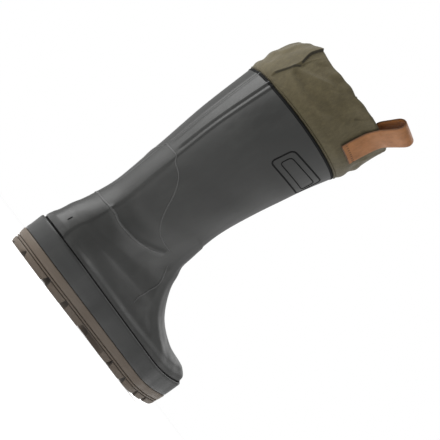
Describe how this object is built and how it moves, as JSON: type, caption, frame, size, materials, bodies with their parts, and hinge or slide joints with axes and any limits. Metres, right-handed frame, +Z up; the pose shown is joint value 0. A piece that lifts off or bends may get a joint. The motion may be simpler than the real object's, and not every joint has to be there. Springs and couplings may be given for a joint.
{
  "type": "winter boot",
  "caption": "Right winter boot: hollow rubber foot and shaft on a lugged outsole with a dark foxing, a gathered cloth cuff around the top and a leather pull loop on the outer side.",
  "frame": {"origin": "on the floor, on the flat lug at the front of the heel block, under the leg", "axes": "+Z up, -Y towards the toe, +X towards the inner side of the foot"},
  "size_m": [0.1666, 0.3104, 0.3837],
  "materials": {
    "outsole": "matte brown rubber with a faint sheen",
    "midsole": "satin greenish black rubber",
    "upper": "satin charcoal rubber",
    "insole": "grey felt",
    "cuff": "matte olive woven cloth",
    "pull_loop": "smooth tan leather"
  },
  "bodies": {
    "root": {"outsole": "outsole", "midsole": "midsole", "upper": "upper", "insole": "insole", "cuff": "cuff", "pull_loop": "pull_loop"}
  },
  "joints": []
}
